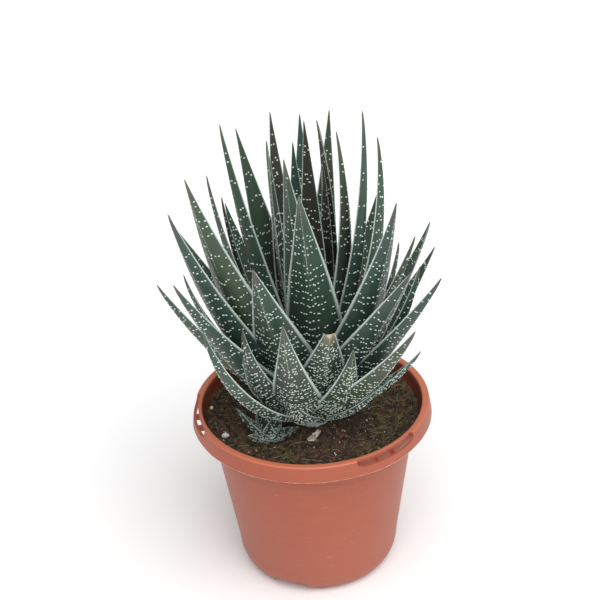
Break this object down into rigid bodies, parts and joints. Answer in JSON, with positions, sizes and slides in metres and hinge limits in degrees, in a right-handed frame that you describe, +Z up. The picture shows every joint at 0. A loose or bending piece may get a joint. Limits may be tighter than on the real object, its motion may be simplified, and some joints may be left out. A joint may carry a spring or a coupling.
{
  "type": "potted aloe plant",
  "caption": "Potted aloe: a dense rosette of narrow toothed leaves with a young offset, rooted in soil in a tapered round nursery pot with a skirted rim.",
  "frame": {"origin": "on the surface the pot stands on, under the middle of the overall box, which is within two millimetres of the pot's axis", "axes": "+Z up along the pot's axis, the longest extent; the pictured side faces -Y, and +X is to the right as seen from there"},
  "size_m": [0.136, 0.1489, 0.2562],
  "materials": {
    "terracotta_plastic": "satin",
    "peat": "matte",
    "leaf_green": "satin",
    "dry_leaf": "matte",
    "pale_grain": "matte"
  },
  "bodies": {
    "root": {"pot": "terracotta_plastic", "soil": "peat", "rosette": "leaf_green", "offset_rosette": "leaf_green", "dry_leaf_scrap": "dry_leaf", "feed_bead": "pale_grain", "pale_chip": "pale_grain"}
  },
  "joints": []
}
